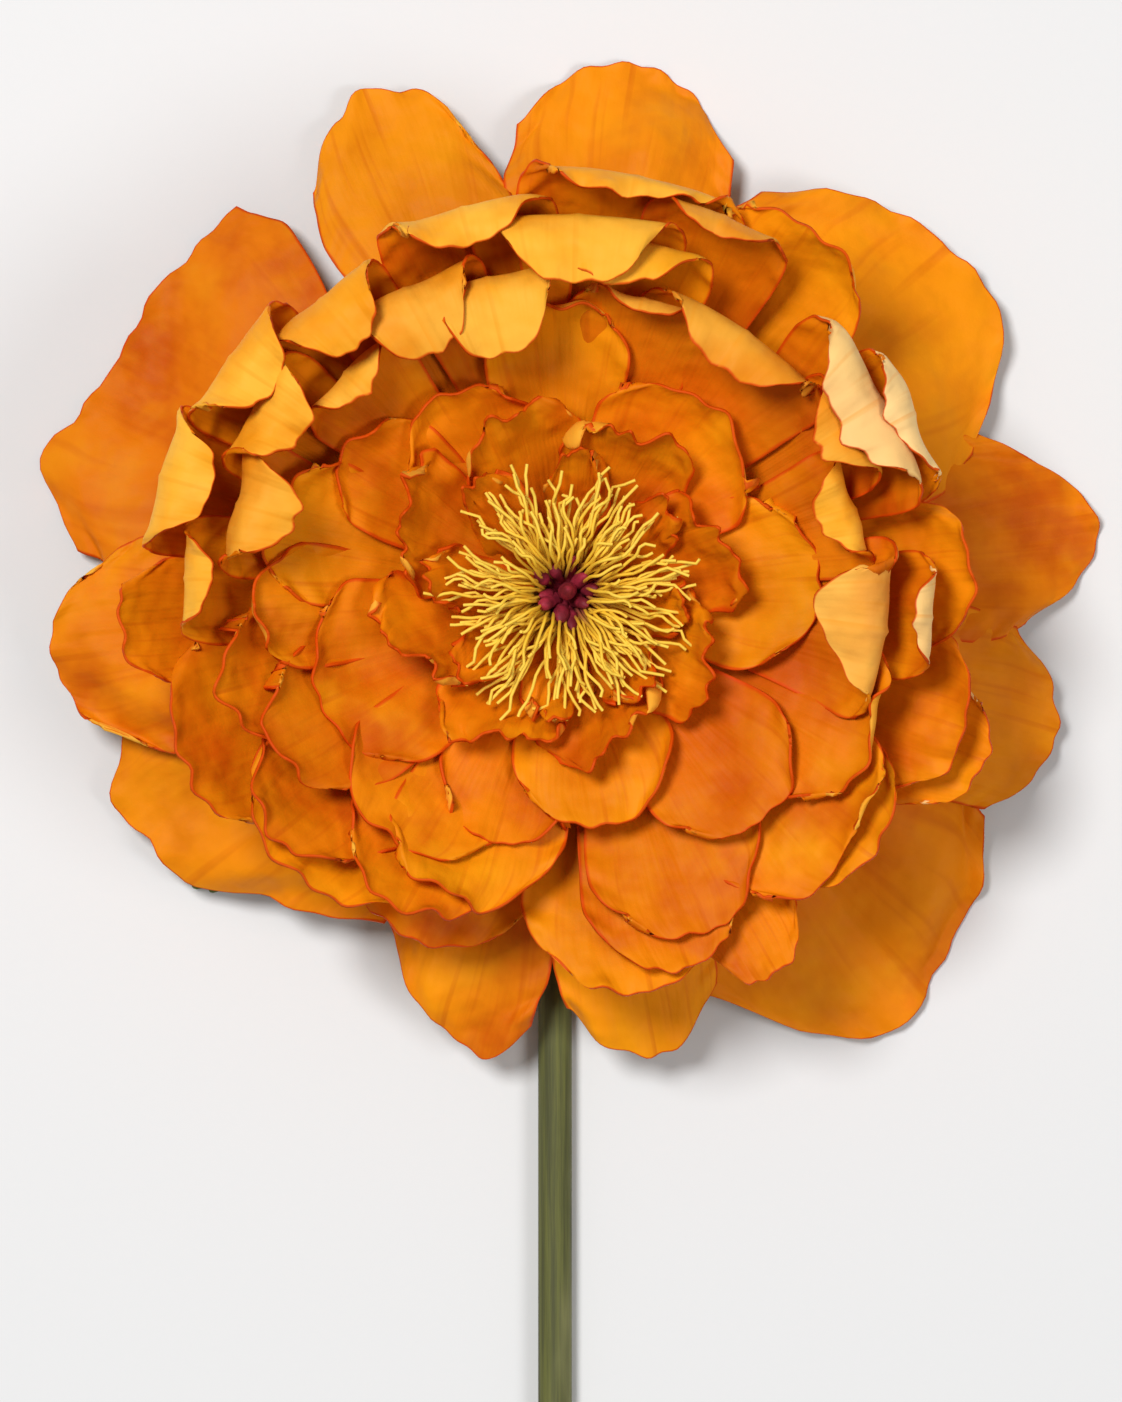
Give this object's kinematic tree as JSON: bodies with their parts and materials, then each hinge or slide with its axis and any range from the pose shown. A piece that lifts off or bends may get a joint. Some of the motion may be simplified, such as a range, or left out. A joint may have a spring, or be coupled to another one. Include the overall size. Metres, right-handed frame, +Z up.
{
  "type": "peony flower with cut stem",
  "caption": "Large double peony bloom with a bowl of curled petals, a tuft of stamens and a straight cut stem, for a bouquet, a vase or a table.",
  "frame": {"origin": "middle of the whole lying flower in plan, on the table that it rests on", "axes": "+Z up, the way the bloom faces; +Y from the cut end of the stem towards the bloom; +X to the right, seen from above with the stem towards the viewer"},
  "size_m": [0.2006, 0.2908, 0.069],
  "materials": {
    "petal": "matt, soft, with a thin red-orange edge",
    "stem": "olive green, streaked along its length",
    "sepal": "matt leaf green",
    "stamen": "matt yellow threads",
    "carpel": "matt crimson"
  },
  "bodies": {
    "root": {"calyx": "sepal", "carpels": "carpel", "cup_petal_01": "petal", "cup_petal_02": "petal", "cup_petal_03": "petal", "cup_petal_04": "petal", "cup_petal_05": "petal", "cup_petal_06": "petal", "cup_petal_07": "petal", "cup_petal_08": "petal", "cup_petal_09": "petal", "cup_petal_10": "petal", "curl_petal_01": "petal", "curl_petal_02": "petal", "curl_petal_03": "petal", "curl_petal_04": "petal", "curl_petal_05": "petal", "curl_petal_06": "petal", "curl_petal_07": "petal", "guard_petal_01": "petal", "guard_petal_02": "petal", "guard_petal_03": "petal", "guard_petal_04": "petal", "guard_petal_05": "petal", "guard_petal_06": "petal", "guard_petal_07": "petal", "guard_petal_08": "petal", "guard_petal_09": "petal", "guard_petal_10": "petal", "guard_petal_11": "petal", "inner_crown": "petal", "inner_curl_petal_01": "petal", "inner_curl_petal_02": "petal", "inner_curl_petal_03": "petal", "inner_curl_petal_04": "petal", "inner_curl_petal_05": "petal", "inner_curl_petal_06": "petal", "inner_curl_petal_07": "petal", "inner_curl_petal_08": "petal", "inner_curl_petal_09": "petal", "inner_curl_petal_10": "petal", "outer_crown": "petal", "receptacle": "sepal", "ring_petal_01": "petal", "ring_petal_02": "petal", "ring_petal_03": "petal", "ring_petal_04": "petal", "ring_petal_05": "petal", "ring_petal_06": "petal", "ring_petal_07": "petal", "ring_petal_08": "petal", "ring_petal_09": "petal", "ring_petal_10": "petal", "ring_petal_11": "petal", "ring_petal_12": "petal", "ring_petal_13": "petal", "ring_petal_14": "petal", "ring_petal_15": "petal", "stamens": "stamen", "stem": "stem"}
  },
  "joints": []
}
